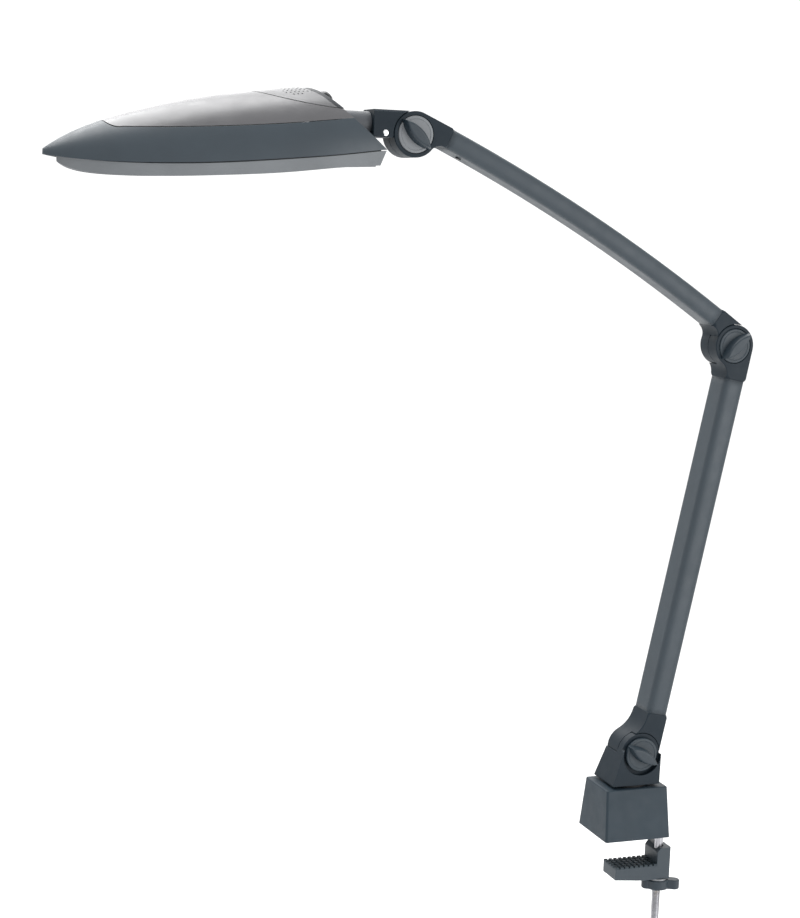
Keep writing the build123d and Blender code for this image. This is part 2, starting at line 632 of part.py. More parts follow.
def housing():
    """Hollow housing: side walls, roof and sloping rear wall."""
    outer = dome() - rear_cutter()
    inner = dome(SHELL_WALL, 3.0) - rear_cutter(SHELL_WALL)
    cup = bar(0, ROLL_Z, RECESS_R + 2, (NECK_START - 4.5 - SHELL_WALL, NECK_START + 40)) & inner
    shell = outer - inner + cup
    return shell - neck_recess() - neck_hole()


def main_solid(shape):
    """The largest solid of a cut."""
    return max(shape.solids(), key=lambda solid: solid.volume)


def vent_holes():
    """Staggered pattern of small round holes near the crest."""
    holes = []
    for row in range(-6, 7):
        for column in range(7):
            x = -368.0 + column * HOLE_PITCH + (HOLE_PITCH / 2 if row % 2 else 0)
            y = row * HOLE_PITCH
            if abs(y) > 23 - 0.5 * abs(column - 3):
                continue
            holes.append(post(x, y, HOLE_R, (660, 700)))
    return holes


def make_head():
    shell = housing()
    side = main_solid(shell - above_seam())
    roof = main_solid(shell & above_seam(SEAM))
    top = main_solid(roof - above_vent_seam())
    vent = roof & above_vent_seam(SEAM)
    behind = rear_cutter(SHELL_WALL + 0.3)
    vent = main_solid(vent - behind)
    for hole in vent_holes():
        vent -= hole
    plate = (dome(0.7) & rear_cutter(SHELL_WALL) & above_vent_seam(SEAM)) - rear_cutter(-1.0)
    plate += button_frame() * Pos(0, 0, COLLAR_TALL / 2 - 0.5) * Cylinder(COLLAR_R, COLLAR_TALL + 1)
    plate = main_solid(plate - neck_recess() - neck_hole())
    button_hole = button_frame() * Cylinder(BUTTON_R + 0.3, 30)
    save("head_side_shell", side)
    save("head_top_panel", top)
    save("head_vent_panel", main_solid(vent))
    save("switch_plate", plate - button_hole)


def switch_button():
    """Domed push button, its axis square to the rear face."""
    straight = BUTTON_TALL - BUTTON_CROWN
    crown_r = (BUTTON_R ** 2 + BUTTON_CROWN ** 2) / (2 * BUTTON_CROWN)
    barrel = post(0, 0, BUTTON_R, (-BUTTON_DEEP, straight))
    crown = Pos(0, 0, BUTTON_TALL - crown_r) * Sphere(crown_r)
    crown &= post(0, 0, BUTTON_R, (straight - 0.01, BUTTON_TALL))
    return button_frame() * (barrel + crown)


def button_frame():
    """Where the button stands: +Z outward, square to the rear face."""
    slope = radians(REAR_LEAN)
    x, z = REAR_AT[0] - BUTTON_UP * cos(slope), REAR_AT[1] + BUTTON_UP * sin(slope)
    return Pos(x, 0, z) * Rot(0, REAR_LEAN, 0)


def rim_cutter(inward=0.0):
    """Everything behind the rim's undercut rear end, in side view."""
    top, low = (-283.5, 642.6), (-287.0, 624.6)
    outline = Polyline(top, (-200, top[1]), (-200, 600), (low[0], 600), low, top)
    return Pos(-inward, 0, 0) * slab(make_face(outline), (-90, 90))


def head_rim():
    """Band round the underside, open in the middle for the diffuser, with a lip up inside the housing."""
    hollow = rim_solid(RIM_WALL, LIP_TALL + 1, 3.0) - rim_cutter(RIM_WALL)
    lip = rim_solid(RIM_WALL - LIP_WALL, LIP_TALL) - rim_cutter(RIM_WALL - LIP_WALL)
    lip -= rear_cutter(SHELL_WALL + 0.8)
    return rim_solid() - rim_cutter() + lip - hollow


def diffuser():
    """Panel that closes the rim, following its curve."""
    low_line = [(NOSE_X + rim_start(row[0]), row[2] + DIFFUSER_UP) for row in HEAD_SECTIONS]
    top_line = [(x, z + DIFFUSER_THICK) for x, z in reversed(low_line)]
    edges = Spline(*low_line) + Line(low_line[-1], top_line[0])
    edges += Spline(*top_line) + Line(top_line[-1], low_line[0])
    gap = RIM_WALL + 0.3
    room = rim_solid(gap, 3.0, 3.0) - rim_cutter(gap)
    return main_solid(room & slab(make_face(edges), (-60, 60)))


# ---- what the head holds ----
def place_head(shape):
    return Pos(ROOM_AT[0], 0, ROOM_AT[1]) * Rot(0, -HEAD_LEAN, 0) * shape


def reflector():
    """White trough over the lamp."""
    profile = Sketch()
    for grow, mode in ((1.0, 1), (0.0, -1)):
        wide = REFLECTOR_HALF + grow
        arc = EllipticalCenterArc((0, 0), wide, REFLECTOR_TALL + grow, 0, arc_size=180)
        half = make_face(arc + Line((wide, 0), (-wide, 0)))
        profile = profile + half if mode > 0 else profile - half
    plane = Plane(origin=(REFLECTOR_X[0], 0, 0), x_dir=(0, 1, 0), z_dir=(1, 0, 0))
    return extrude(plane * profile, amount=REFLECTOR_X[1] - REFLECTOR_X[0])


def lamp_tubes():
    tubes = bar(LAMP_APART, 0, LAMP_R, LAMP_X) + bar(-LAMP_APART, 0, LAMP_R, LAMP_X)
    bridge = pin(LAMP_X[0] + 9, 0, 3.4, (-LAMP_APART, LAMP_APART))
    return tubes + bridge


def lamp_holder():
    holder = block(HOLDER_X, (-17, 17), (-8, 11))
    return chamfer(holder.edges().filter_by(Axis.X), 2.0)


def mounting_tray():
    tray = block((-58, 84), (-24, 24), (TRAY_Z, TRAY_Z + 1.2))
    for x, y in TRAY_SCREWS:
        tray -= post(x, y, 1.7, (TRAY_Z - 1, TRAY_Z + 3))
    return tray


def ballast():
    body = block((-42, 70), (-18, 18), BALLAST_Z)
    body = chamfer(body.edges().filter_by(Axis.X), 2.0)
    for x, y in TRAY_SCREWS:
        body -= post(x, y, 1.5, (BALLAST_Z[0] - 1, BALLAST_Z[0] + 6))
    return body


def tray_screws():
    return [post(x, y, 2.8, (TRAY_Z - 1.5, TRAY_Z)) + post(x, y, 1.5, (TRAY_Z - 0.5, BALLAST_Z[0] + 5))
            for x, y in TRAY_SCREWS]


def switch_body():
    return block((-352, -338), (-9, 9), (667, 678))


def make_inside():
    save("head_rim", main_solid(head_rim()))
    save("diffuser", diffuser())
    save("reflector", place_head(reflector()))
    save("lamp_tubes", place_head(lamp_tubes()))
    save("lamp_cap", place_head(block(CAP_X, (-16.5, 16.5), (-7, 9))))
    save("lamp_holder", place_head(lamp_holder()))
    save("mounting_tray", place_head(mounting_tray()))
    save("ballast", place_head(ballast()))
    save("tray_screws", *[place_head(screw) for screw in tray_screws()])
    save("switch_body", switch_body())


if __name__ == "__main__":
    save("clamp_cover", clamp_cover())
    save("clamp_core", clamp_core())
    save("spindle_plate", spindle_plate())
    save("plate_screws", *plate_screws())
    save("desk_pad", desk_pad())
    save("clamp_spindle", clamp_spindle())
    save("clamp_jaw", clamp_jaw())
    save("jaw_bush", jaw_bush())
    save("jaw_grip", jaw_grip())
    save("wing_washer", wing_washer())
    save("wing_nut", wing_nut())
    save("wing_nut_insert", wing_nut_insert())
    save("turret_housing", turret_housing())
    save("swivel_pin", swivel_pin())
    save("swivel_bush", swivel_bush())
    save("swivel_nut", swivel_nut())
    save("swivel_washer", swivel_washer())
    make_arm("lower_arm", LOWER_THICK, LOWER_OFFSET, LOWER_REACH, LOWER_ENDS, 0, place_lower, BASE_SPLIT, 1)
    make_arm("upper_arm", UPPER_THICK, UPPER_OFFSET, UPPER_REACH, UPPER_ENDS, UPPER_BOW, place_upper, 0, -1)
    for name, pivot, lean, turn, out, split in JOINTS:
        save(f"{name}_knob", at(pivot, Pos(0, -out, 0) * knob(turn)))
        save(f"{name}_knob_bolt", at(pivot, knob_bolt(out)))
        save(f"{name}_joint_nut", at(pivot, Rot(0, lean, 0) * joint_nut()))
        save(f"{name}_friction_disc", at(pivot, Pos(0, split, 0) * friction_disc()))
        save(f"{name}_joint_cap", at(pivot, joint_cap()))
    save("head_bracket", at(HEAD_PIVOT, head_bracket()))
    save("bracket_screw", at(HEAD_PIVOT, bracket_screw()))
    save("head_neck", head_neck())
    make_head()
    save("switch_button", switch_button())
    make_inside()
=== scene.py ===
import json
from math import asin, cos, pi, radians, sin, tan

import bmesh
import bpy
from mathutils import Matrix, Vector


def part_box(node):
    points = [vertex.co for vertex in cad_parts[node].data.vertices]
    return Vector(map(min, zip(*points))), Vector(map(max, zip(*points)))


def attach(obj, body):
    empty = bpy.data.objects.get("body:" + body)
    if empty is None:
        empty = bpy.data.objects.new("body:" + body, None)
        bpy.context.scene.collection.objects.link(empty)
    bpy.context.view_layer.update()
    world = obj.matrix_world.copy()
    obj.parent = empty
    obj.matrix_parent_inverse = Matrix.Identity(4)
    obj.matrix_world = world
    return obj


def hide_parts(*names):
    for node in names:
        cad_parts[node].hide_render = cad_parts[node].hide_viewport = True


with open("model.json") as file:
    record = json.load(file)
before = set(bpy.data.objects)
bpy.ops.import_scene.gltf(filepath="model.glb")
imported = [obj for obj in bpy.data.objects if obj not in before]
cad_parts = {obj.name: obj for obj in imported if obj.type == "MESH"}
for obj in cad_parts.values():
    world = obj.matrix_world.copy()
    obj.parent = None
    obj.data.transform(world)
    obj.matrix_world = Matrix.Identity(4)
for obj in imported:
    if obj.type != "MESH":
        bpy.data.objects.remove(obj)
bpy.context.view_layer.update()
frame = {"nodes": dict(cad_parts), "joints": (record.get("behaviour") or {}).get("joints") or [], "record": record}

# Swing arm desk lamp: finishes, detail pieces, light and camera. Metres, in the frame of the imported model.
nodes = frame["nodes"]
joints = {joint["name"]: joint for joint in frame["joints"]}
scene = bpy.context.scene
MM = 0.001


# ---- camera ----
CAMERA_YAW = radians(20.17)
CAMERA_PITCH = radians(8.04)
CAMERA_ROLL = radians(-2.06)
CAMERA_AWAY = 1.6458
CAMERA_AIM = Vector((-0.2456, 0.0, 0.3685))
CAMERA_LENS = 71.78
CAMERA_CLIP = (0.05, 60)


def make_camera():
    ahead = cos(CAMERA_PITCH)
    forward = Vector((sin(CAMERA_YAW) * ahead, cos(CAMERA_YAW) * ahead, -sin(CAMERA_PITCH)))
    level = Vector((cos(CAMERA_YAW), -sin(CAMERA_YAW), 0.0))
    down = forward.cross(level)
    right = cos(CAMERA_ROLL) * level + sin(CAMERA_ROLL) * down
    low = -sin(CAMERA_ROLL) * level + cos(CAMERA_ROLL) * down
    camera = bpy.data.objects.new("camera", bpy.data.cameras.new("camera"))
    scene.collection.objects.link(camera)
    turn = Matrix((right, -low, -forward)).transposed()
    camera.matrix_world = Matrix.Translation(CAMERA_AIM - forward * CAMERA_AWAY) @ turn.to_4x4()
    camera.data.lens = CAMERA_LENS
    camera.data.clip_start, camera.data.clip_end = CAMERA_CLIP
    scene.camera = camera


# ---- light and floor ----
WORLD_STRENGTH = 1.12
FLOOR_Z = -0.75
FLOOR_REACH = 30.0
# name, place, aim, width and height, watts
AREA_LIGHTS = (
    ("right_front", (1.15, -1.9, 0.45), (-0.1, 0, 0.4), (1.0, 1.8), 30),
    ("behind_above", (0.1, 2.0, 2.1), (-0.4, 0, 0.65), (3.2, 2.2), 45),
    ("above_left", (-0.8, 0.45, 2.25), (-0.42, 0, 0.66), (1.6, 1.7), 52),
)


def area_light(name, place, aim, size, power):
    data = bpy.data.lights.new(name, "AREA")
    data.shape = "RECTANGLE"
    data.size, data.size_y = size
    data.energy = power
    lamp = bpy.data.objects.new(name, data)
    scene.collection.objects.link(lamp)
    lamp.location = place
    lamp.rotation_mode = "QUATERNION"
    lamp.rotation_quaternion = (Vector(aim) - Vector(place)).to_track_quat("-Z", "Y")
    lamp.visible_camera = False


def make_light():
    world = bpy.data.worlds.new("studio")
    world.use_nodes = True
    back = world.node_tree.nodes["Background"]
    back.inputs["Color"].default_value = (1.0, 1.0, 1.0, 1)
    back.inputs["Strength"].default_value = WORLD_STRENGTH
    scene.world = world
    for row in AREA_LIGHTS:
        area_light(*row)
    scene.view_settings.view_transform = "Standard"


def make_floor():
    """Pale floor, clear from below so that the underside can be looked at."""
    mesh = bpy.data.meshes.new("floor")
    corners = [(x * FLOOR_REACH, y * FLOOR_REACH, FLOOR_Z) for x, y in ((-1, -1), (1, -1), (1, 1), (-1, 1))]
    mesh.from_pydata(corners, [], [(0, 1, 2, 3)])
    floor = bpy.data.objects.new("floor", mesh)
    scene.collection.objects.link(floor)
    material, tree = blank("floor_paint")
    shader = tree.nodes["Principled BSDF"]
    shader.inputs["Roughness"].default_value = 0.9
    noise = noise_of(tree, 6.0, 3)
    colour = ramp_of(tree, noise, ((0.3, (0.95, 0.95, 0.95)), (0.7, (0.98, 0.98, 0.98))))
    tree.links.new(colour, shader.inputs["Base Color"])
    see_through = node(tree, "MixShader")
    tree.links.new(node(tree, "NewGeometry").outputs["Backfacing"], see_through.inputs["Fac"])
    tree.links.new(shader.outputs["BSDF"], see_through.inputs[1])
    tree.links.new(node(tree, "BsdfTransparent").outputs["BSDF"], see_through.inputs[2])
    tree.links.new(see_through.outputs["Shader"], tree.nodes["Material Output"].inputs["Surface"])
    mesh.materials.append(material)


# ---- node helpers ----
def blank(name):
    material = bpy.data.materials.new(name)
    material.use_nodes = True
    return material, material.node_tree


def node(tree, kind, **values):
    made = tree.nodes.new("ShaderNode" + kind)
    for key, value in values.items():
        setattr(made, key, value)
    return made


def noise_of(tree, scale, detail=2.0, stretch=None, rough=0.5):
    """Noise over the row frame in metres, its scale per metre; stretch scales each axis."""
    place = node(tree, "TexCoord").outputs["Object"]
    if stretch:
        mapping = node(tree, "Mapping")
        mapping.inputs["Scale"].default_value = stretch
        tree.links.new(place, mapping.inputs["Vector"])
        place = mapping.outputs["Vector"]
    noise = node(tree, "TexNoise")
    noise.inputs["Scale"].default_value = scale
    noise.inputs["Detail"].default_value = detail
    noise.inputs["Roughness"].default_value = rough
    tree.links.new(place, noise.inputs["Vector"])
    return noise.outputs["Fac"]


def ramp_of(tree, value, stops):
    ramp = node(tree, "ValToRGB")
    elements = ramp.color_ramp.elements
    while len(elements) < len(stops):
        elements.new(0.5)
    for element, (place, colour) in zip(elements, stops):
        element.position = place
        element.color = (*colour, 1)
    tree.links.new(value, ramp.inputs["Fac"])
    return ramp.outputs["Color"]


def range_of(tree, value, low, high, from_low=0.3, from_high=0.7):
    made = node(tree, "MapRange")
    for key, number in (("From Min", from_low), ("From Max", from_high), ("To Min", low), ("To Max", high)):
        made.inputs[key].default_value = number
    tree.links.new(value, made.inputs["Value"])
    return made.outputs["Result"]


def edge_of(tree, radius):
    """(normal rounded over that radius, how near a sharp edge a point is from 0 to 1)."""
    bevel = node(tree, "Bevel", samples=6)
    bevel.inputs["Radius"].default_value = radius
    dot = node(tree, "VectorMath", operation="DOT_PRODUCT")
    tree.links.new(bevel.outputs["Normal"], dot.inputs[0])
    tree.links.new(node(tree, "NewGeometry").outputs["True Normal"], dot.inputs[1])
    return bevel.outputs["Normal"], range_of(tree, dot.outputs["Value"], 1.0, 0.0, 0.75, 0.995)


def shade(colour, by):
    return tuple(min(1.0, part * by) for part in colour)


def mixed(tree, factor, first, second):
    """Blend of two colours, or of a colour socket and a colour, by a factor socket."""
    mix = node(tree, "Mix", data_type="RGBA")
    tree.links.new(factor, mix.inputs["Factor"])
    for socket, value in ((mix.inputs[6], first), (mix.inputs[7], second)):
        if isinstance(value, tuple):
            socket.default_value = (*value, 1)
        else:
            tree.links.new(value, socket)
    return mix.outputs[2]


def bumped(tree, normal, height, distance, strength):
    bump = node(tree, "Bump")
    bump.inputs["Distance"].default_value = distance
    bump.inputs["Strength"].default_value = strength
    tree.links.new(height, bump.inputs["Height"])
    if normal is not None:
        tree.links.new(normal, bump.inputs["Normal"])
    return bump.outputs["Normal"]


def moulded(name, colour, rough, grain=0.5, grain_mm=0.35, vary=0.07, edge_mm=0.5, edge_sheen_and_wear=1.35,
            specular=0.5):
    """Moulded plastic or paint: fine grain, faint mottling, and rounded edges lightened a little by a painted edge
    highlight broken up by wear.
    """
    material, tree = blank(name)
    shader = tree.nodes["Principled BSDF"]
    shader.inputs["Specular IOR Level"].default_value = specular
    mottle = noise_of(tree, 28, 3)
    base = ramp_of(tree, mottle, ((0.3, shade(colour, 1 - vary)), (0.7, shade(colour, 1 + vary))))
    normal, edge = edge_of(tree, edge_mm * MM)
    # Edges are lightened by a painted highlight, part sheen and part wear: the edge mask, broken up by noise,
    # blends towards a lighter copy of the colour.
    sheen_and_wear_mask = node(tree, "Math", operation="MULTIPLY")
    tree.links.new(edge, sheen_and_wear_mask.inputs[0])
    tree.links.new(range_of(tree, noise_of(tree, 160, 4), 0.25, 1.0), sheen_and_wear_mask.inputs[1])
    tree.links.new(mixed(tree, sheen_and_wear_mask.outputs[0], base, shade(colour, edge_sheen_and_wear)), shader.inputs["Base Color"])
    fine = noise_of(tree, 1000 / grain_mm, 2)
    tree.links.new(bumped(tree, normal, fine, 0.04 * MM, grain), shader.inputs["Normal"])
    smudge = range_of(tree, noise_of(tree, 90, 3), rough - 0.04, rough + 0.05)
    tree.links.new(smudge, shader.inputs["Roughness"])
    return material


def metal(name, colour, rough, stretch=(1, 1, 1), brushed=0.25):
    """Bare or plated metal with fine tool marks drawn out across the stretched axis."""
    material, tree = blank(name)
    shader = tree.nodes["Principled BSDF"]
    shader.inputs["Metallic"].default_value = 1.0
    marks = noise_of(tree, 900, 4, stretch)
    cloud = noise_of(tree, 60, 3)
    tree.links.new(ramp_of(tree, cloud, ((0.3, shade(colour, 0.9)), (0.7, shade(colour, 1.06)))),
                   shader.inputs["Base Color"])
    tree.links.new(range_of(tree, marks, rough - 0.06, rough + 0.1), shader.inputs["Roughness"])
    normal, _ = edge_of(tree, 0.25 * MM)
    tree.links.new(bumped(tree, normal, marks, 0.02 * MM, brushed), shader.inputs["Normal"])
    return material


def prismatic(name):
    """Translucent panel with rows of small pyramids."""
    material, tree = blank(name)
    shader = tree.nodes["Principled BSDF"]
    shader.inputs["Transmission Weight"].default_value = 0.55
    shader.inputs["IOR"].default_value = 1.49
    place = node(tree, "TexCoord").outputs["Object"]
    wave = None
    for axis in "XY":
        ripple = node(tree, "TexWave", wave_type="BANDS", bands_direction=axis, wave_profile="TRI")
        ripple.inputs["Scale"].default_value = 62
        tree.links.new(place, ripple.inputs["Vector"])
        if wave is None:
            wave = ripple.outputs["Fac"]
        else:
            total = node(tree, "Math", operation="ADD")
            tree.links.new(wave, total.inputs[0])
            tree.links.new(ripple.outputs["Fac"], total.inputs[1])
            wave = total.outputs[0]
    tree.links.new(bumped(tree, None, wave, 1.2 * MM, 0.9), shader.inputs["Normal"])
    tree.links.new(range_of(tree, wave, 0.28, 0.4, 0.0, 2.0), shader.inputs["Roughness"])
    tree.links.new(ramp_of(tree, noise_of(tree, 20), ((0.3, (0.86, 0.87, 0.88)), (0.7, (0.92, 0.93, 0.94)))),
                   shader.inputs["Base Color"])
    return material


# ---- finishes, one for each material slot of the record ----
FINISHES = {
    "cover": moulded("cover_plastic", (0.013, 0.023, 0.032), 0.52, grain=0.35, edge_mm=0.8, edge_sheen_and_wear=2.2,
                     specular=0.25),
    "joint": moulded("joint_plastic", (0.007, 0.013, 0.019), 0.50, grain=0.6, grain_mm=0.5, edge_sheen_and_wear=2.4,
                     specular=0.16),
    "jaw": moulded("jaw_paint", (0.020, 0.030, 0.039), 0.45, grain=0.5, grain_mm=0.7, edge_mm=0.6, edge_sheen_and_wear=2.0,
                   specular=0.35),
    "wing": moulded("wing_plastic", (0.013, 0.021, 0.029), 0.45, grain=0.5, edge_mm=0.8, edge_sheen_and_wear=2.0,
                    specular=0.35),
    "knob": moulded("knob_plastic", (0.012, 0.021, 0.029), 0.45, grain=0.5, edge_mm=0.4, edge_sheen_and_wear=1.8,
                    specular=0.35),
    # Head knob disc: the same dark plastic as the other knobs, made much lighter as painted light for this disc's
    # lit face.
    "head_knob": moulded("head_knob_painted_lit", (0.125, 0.135, 0.145), 0.45, grain=0.5, edge_mm=0.4),
    "cap": moulded("cap_plastic", (0.012, 0.021, 0.029), 0.45, grain=0.5, edge_mm=0.4, edge_sheen_and_wear=1.8,
                   specular=0.35),
    "pad_rubber": moulded("pad_rubber", (0.012, 0.012, 0.013), 0.75, grain=0.8, grain_mm=0.8, specular=0.2),
    "grip_rubber": moulded("grip_rubber", (0.018, 0.028, 0.036), 0.6, grain=0.6, grain_mm=0.6, edge_mm=0.3,
                           specular=0.3),
    "spindle_steel": metal("spindle_zinc", (0.36, 0.36, 0.38), 0.26, (1, 1, 6)),
    "neck": moulded("neck_plastic", (0.062, 0.067, 0.075), 0.46, grain=0.4, edge_mm=0.4, specular=0.3),
    "steel_dark": metal("plate_zinc", (0.42, 0.43, 0.45), 0.35),
    "screw": metal("screw_zinc", (0.2, 0.205, 0.215), 0.38),
    "black_screw": moulded("screw_oxide", (0.016, 0.019, 0.022), 0.35, grain=0.5, edge_mm=0.2, edge_sheen_and_wear=1.6),
    "chrome_screw": metal("screw_chrome", (0.85, 0.86, 0.87), 0.1, brushed=0.08),
    "brass_insert": metal("insert_brass", (0.78, 0.58, 0.25), 0.25),
    "bush": moulded("bush_plastic", (0.62, 0.6, 0.55), 0.5, grain=0.3),
    "friction_fibre": moulded("friction_fibre", (0.2, 0.12, 0.07), 0.8, grain=1.0, grain_mm=0.8, vary=0.25),
    "tube": moulded("tube_coat", (0.029, 0.039, 0.048), 0.42, grain=0.22, grain_mm=0.6, vary=0.04,
                    edge_mm=9.0, edge_sheen_and_wear=1.0, specular=0.26),
    "shell": moulded("shell_plastic", (0.024, 0.034, 0.043), 0.42, grain=0.25, grain_mm=0.4, edge_mm=0.5,
                     specular=0.38),
    # Top and vent panels are a lighter grey than the shell: partly their own plastic, and partly painted light for
    # their up-facing tops.
    "top_panel": moulded("top_plastic", (0.050, 0.050, 0.054), 0.34, grain=0.22, grain_mm=0.4, edge_mm=0.5,
                         specular=0.75),
    "vent_panel": moulded("vent_plastic", (0.055, 0.056, 0.060), 0.36, grain=0.22, grain_mm=0.4, edge_mm=0.3,
                          specular=0.75),
    "rear_plate": moulded("rear_plastic", (0.012, 0.015, 0.019), 0.5, grain=0.4, specular=0.3),
    "button": moulded("button_plastic", (0.006, 0.008, 0.010), 0.16, grain=0.05, edge_mm=0.4, edge_sheen_and_wear=1.0),
    "rim": moulded("rim_plastic", (0.108, 0.117, 0.125), 0.5, grain=0.4, grain_mm=0.4, edge_mm=0.5,
                   specular=0.4),
    "diffuser": prismatic("diffuser_prism"),
    "reflector": moulded("reflector_paint", (0.86, 0.86, 0.85), 0.3, grain=0.1, edge_sheen_and_wear=1.0),
    "lamp_glass": moulded("lamp_phosphor", (0.9, 0.9, 0.88), 0.12, grain=0.02, edge_sheen_and_wear=1.0, vary=0.02),
    "white_plastic": moulded("white_plastic", (0.8, 0.79, 0.76), 0.45, grain=0.3, edge_sheen_and_wear=1.0),
    "ballast_can": moulded("ballast_enamel", (0.7, 0.7, 0.68), 0.35, grain=0.2, edge_sheen_and_wear=1.0),
}


def dress_nodes():
    for part in frame["record"]["subparts"]:
        mesh = nodes[part["node"]].data
        mesh.materials.clear()
        mesh.materials.append(FINISHES[part["material_slot"]])


# ---- mesh helpers ----
def to_axis(place, axis):
    """Matrix that stands local +Z along an axis at a place."""
    turn = Vector(axis).normalized().to_track_quat("Z", "Y").to_matrix().to_4x4()
    return Matrix.Translation(Vector(place)) @ turn


def piece(name, mesh, slot, body, replaced=(), sharp=35):
    made = bpy.data.objects.new(name, mesh)
    scene.collection.objects.link(made)
    mesh.materials.clear()
    mesh.materials.append(FINISHES[slot])
    mesh.shade_smooth()
    mesh.set_sharp_from_angle(angle=radians(sharp))
    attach(made, body)
    if replaced:
        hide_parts(*replaced)


def ring_mesh(name, rings):
    """Closed mesh from equal rings of points, with a fan at each end."""
    mesh = bmesh.new()
    made = [[mesh.verts.new(point) for point in ring] for ring in rings]
    for lower, upper in zip(made, made[1:]):
        for i in range(len(lower)):
            j = (i + 1) % len(lower)
            mesh.faces.new((lower[i], lower[j], upper[j], upper[i]))
    mesh.faces.new(reversed(made[0]))
    mesh.faces.new(made[-1])
    bmesh.ops.recalc_face_normals(mesh, faces=mesh.faces)
    data = bpy.data.meshes.new(name)
    mesh.to_mesh(data)
    mesh.free()
    return data


def lathe(name, profile, place, axis, segments=64):
    """Solid of revolution; the profile is (radius, height) pairs in millimetres from low to high."""
    matrix = to_axis(place, axis)
    rings = []
    for radius, height in profile:
        rings.append([matrix @ (Vector((radius * cos(a), radius * sin(a), height)) * MM)
                      for a in (2 * pi * i / segments for i in range(segments))])
    return ring_mesh(name, rings)


def carved(mesh, cutter):
    """A mesh with another cut out of it."""
    body = bpy.data.objects.new("carved", mesh)
    tool = bpy.data.objects.new("tool", cutter)
    for made in (body, tool):
        scene.collection.objects.link(made)
    cut = body.modifiers.new("cut", "BOOLEAN")
    cut.operation = "DIFFERENCE"
    cut.object = tool
    cut.solver = "EXACT"
    bpy.context.view_layer.update()
    result = bpy.data.meshes.new_from_object(body.evaluated_get(bpy.context.evaluated_depsgraph_get()))
    bpy.data.objects.remove(body)
    bpy.data.objects.remove(tool)
    return result


def cross_cutter(place, axis, reach, wide, deep):
    """Four-pointed star that narrows downwards, for a cross recess; millimetres."""
    matrix = to_axis(place, axis)
    rings = []
    for height, grow in ((-deep, 0.35), (0.6, 1.0)):
        ring = []
        for quarter in range(4):
            turn = pi / 2 * quarter
            far, half = reach * grow, wide / 2
            for x, y in ((half, half), (far, half * grow), (far, -half * grow)):
                point = (x * cos(turn) + y * sin(turn), -x * sin(turn) + y * cos(turn), height)
                ring.append(matrix @ (Vector(point) * MM))
        rings.append(ring)
    return ring_mesh("cross", rings)


def pan_screw(name, place, axis, head_r, head_tall, shank_r, shank_long, slot, body, replaced=()):
    """Pan head screw with a cross recess; place is where the head meets the surface."""
    steps = 6
    dome = [(head_r * cos(a) ** 0.8, head_tall * (0.35 + 0.65 * sin(a)))
            for a in (pi / 2 * i / steps for i in range(steps))]
    profile = [(shank_r * 0.6, -shank_long), (shank_r, -shank_long + 0.8), (shank_r, 0), (head_r, 0)]
    profile += dome + [(head_r * 0.12, head_tall)]
    head = lathe(name, profile, place, axis, 40)
    top = Vector(place) + Vector(axis).normalized() * head_tall * MM
    cross = cross_cutter(top, axis, head_r * 0.56, head_r * 0.2, head_tall * 0.8)
    piece(name, carved(head, cross), slot, body, replaced, 40)


# ---- detail pieces ----
KNOB_R, KNOB_FACE, KNOB_BACK = 16.2, -16.0, -12.2
BOLT_R = 5.3
KNOB_TIP = 24.6                      # how far a knob's grip reaches where the knob doesn't stand out
FIN_REACH, FIN_HALF, FIN_TALL, FIN_DRAFT = 18.4, 6.4, 9.0, 9.0
KNOB_TURNS = {"base": -33, "elbow": 43, "head": -44}


def lens(reach, half, steps=20):
    """Outline between two equal arcs, tips at +reach and -reach along X."""
    arc_r = (reach ** 2 + half ** 2) / (2 * half)
    sweep = asin(reach / arc_r)
    points = []
    for side in (1, -1):
        for i in range(steps):
            a = sweep * (1 - 2 * i / steps)
            points.append((side * arc_r * sin(a), side * (arc_r * cos(a) - (arc_r - half))))
    return points


def make_knob(name, slot, fin_slot):
    """Round knob with a raised lens-shaped grip; both have softly rounded edges."""
    joint = joints[name + "_knob_turn"]
    x, _, z = joint["pos_m"]
    out = -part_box(name + "_knob")[0].y / MM - KNOB_TIP
    face, back = out - KNOB_FACE, out - KNOB_BACK
    profile = [(BOLT_R, back), (KNOB_R - 0.3, back), (KNOB_R, back + 0.3), (KNOB_R, face - 1.0),
               (KNOB_R - 0.12, face - 0.5), (KNOB_R - 0.5, face - 0.12), (KNOB_R - 1.0, face),
               (KNOB_R - 2.4, face), (KNOB_R - 2.6, face - 0.25), (KNOB_R - 3.0, face - 0.25),
               (KNOB_R - 3.2, face), (1.0, face)]
    disc = lathe("disc", profile, (x, 0, z), (0, -1, 0), 96)
    turn = radians(KNOB_TURNS[name])
    tall, rings = FIN_TALL, []
    for height, round_in in ((0.0, 0.0), (1.5, 0.0), (tall - 1.8, 0.0), (tall - 1.0, 0.18), (tall - 0.4, 0.6),
                             (tall - 0.1, 1.1), (tall, 1.7), (tall, 2.6)):
        inset = height * tan(radians(FIN_DRAFT)) + round_in
        ring = []
        for u, v in lens(FIN_REACH - 1.6 * inset, max(FIN_HALF - inset, 0.3)):
            across = u * cos(turn) - v * sin(turn)
            up = u * sin(turn) + v * cos(turn)
            ring.append((x + across * MM, -(face - 0.4 + height) * MM, z + up * MM))
        rings.append(ring)
    fin = ring_mesh("fin", rings)
    body = name + "_knob"
    piece(name + "_knob_disc", disc, slot, body, (name + "_knob",))
    piece(name + "_knob_grip", fin, fin_slot, body, (), 50)


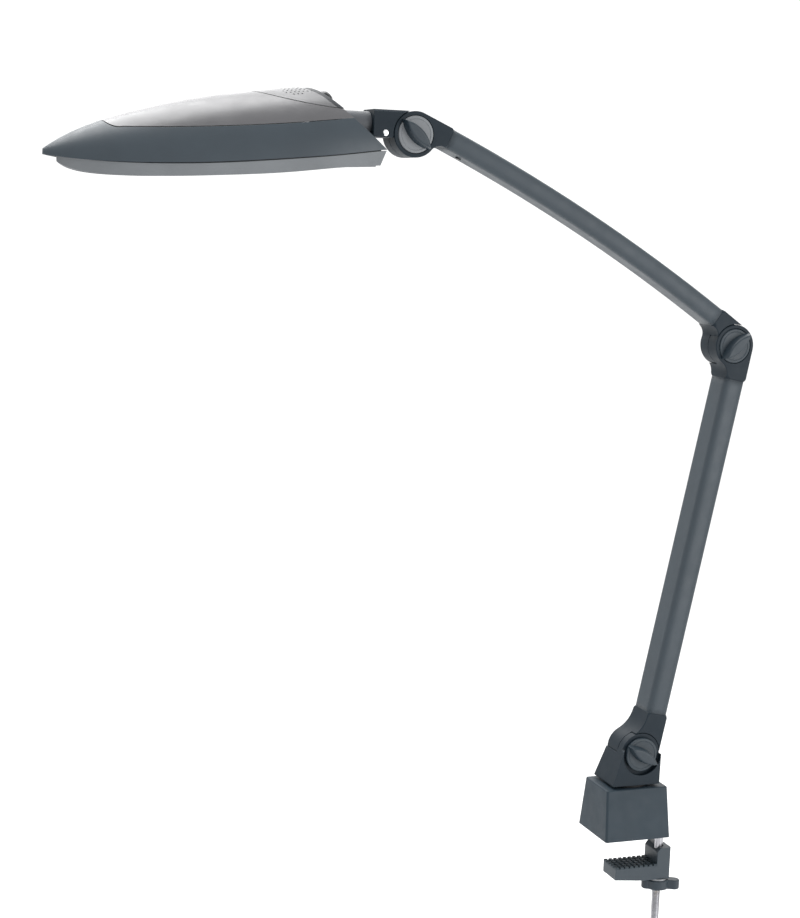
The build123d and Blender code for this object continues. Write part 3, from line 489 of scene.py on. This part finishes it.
def make_cap(name, body):
    """Round cap over the joint's nut, dished in the middle with a raised ring."""
    x, _, z = joints[name + "_knob_turn"]["pos_m"]
    profile = [(12.2, 13.2), (12.4, 13.4), (12.4, 15.4), (12.3, 15.7), (12.0, 15.88), (11.4, 15.9),
               (10.8, 15.7), (10.4, 15.25), (9.8, 15.05), (5.4, 14.95), (5.0, 15.2), (4.6, 15.4),
               (1.2, 15.45), (0.4, 15.2)]
    cap = lathe(name + "_cap", profile, (x, 0, z), (0, 1, 0), 72)
    piece(name + "_cap", cap, "cap", body, (name + "_joint_cap",))


THREAD_PITCH = 1.25
THREAD_DEEP = 0.68
THREAD_TOP = -12.0                   # the spindle is plain above this height
THREAD_AROUND, THREAD_STEPS = 32, 8  # points round a ring, rings in one turn


def make_spindle():
    """Rod with a rolled helical thread, plain below the clamp head and chamfered at its end."""
    low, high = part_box("clamp_spindle")
    x, y = (low.x + high.x) / 2, (low.y + high.y) / 2
    radius = (high.x - low.x) / 2 / MM
    z0, z1 = low.z / MM, high.z / MM
    count = int((z1 - z0) / THREAD_PITCH * THREAD_STEPS)
    rings = []
    for i in range(count + 1):
        z = z0 + (z1 - z0) * i / count
        end = min(1.0, (z - z0) / 1.0)
        ring = []
        for j in range(THREAD_AROUND):
            phase = (z / THREAD_PITCH - j / THREAD_AROUND) % 1.0
            groove = max(0.0, 1 - abs(phase - 0.5) * 2.6) if z < THREAD_TOP else 0.0
            r = (radius - THREAD_DEEP * groove) * (0.78 + 0.22 * end)
            a = 2 * pi * j / THREAD_AROUND
            ring.append((x + r * cos(a) * MM, y + r * sin(a) * MM, z * MM))
        rings.append(ring)
    rod = ring_mesh("threaded_spindle", rings)
    piece("threaded_spindle", rod, "spindle_steel", "clamp", ("clamp_spindle",), 60)


BUTTON_SIDE, BUTTON_CROWN = 8.4, 2.1  # how tall the button's side and its crown are


def make_button():
    """Domed push button with a fine ring round its crown."""
    axis = -Vector(joints["switch_press"]["axis"])
    low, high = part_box("switch_button")
    radius = (high.y - low.y) / 2 / MM
    foot = (low.x + radius * axis.z * MM, 0, low.z + radius * axis.x * MM)
    side = BUTTON_SIDE
    profile = [(radius - 0.3, 0), (radius, 0.3), (radius, side), (radius - 0.15, side + 0.7),
               (radius - 0.6, side + 1.3), (radius - 1.1, side + 1.65), (radius - 1.3, side + 1.6),
               (radius - 1.5, side + 1.8)]
    profile += [((radius - 1.6) * cos(a), side + 1.85 + (BUTTON_CROWN - 0.4) * sin(a))
                for a in (pi / 2 * i / 8 for i in range(1, 8))]
    profile += [(0.2, side + 1.85 + BUTTON_CROWN - 0.4)]
    button = lathe("button_dome", profile, foot, axis, 64)
    piece("button_dome", button, "button", "switch_button", ("switch_button",), 50)


SCREW_HEAD_TALL = 1.4


def make_bracket_screw():
    """Chrome pan head screw with a cross recess, in the side of the head's bracket."""
    low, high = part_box("bracket_screw")
    x, z = (low.x + high.x) / 2, (low.z + high.z) / 2
    head_r = (high.x - low.x) / 2 / MM
    head = SCREW_HEAD_TALL
    pan_screw("bracket_pan_screw", (x, low.y + head * MM, z), (0, -1, 0), head_r, head, head_r * 0.5,
              (high.y - low.y) / MM - head, "chrome_screw", "head_bracket", ("bracket_screw",))


make_camera()
make_light()
make_floor()
dress_nodes()
for joint_name, disc_slot in (("base", "knob"), ("elbow", "knob"), ("head", "head_knob")):
    make_knob(joint_name, disc_slot, "knob")
for joint_name, holder in (("base", "lower_arm"), ("elbow", "upper_arm"), ("head", "head_bracket")):
    make_cap(joint_name, holder)
make_spindle()
make_button()
make_bracket_screw()
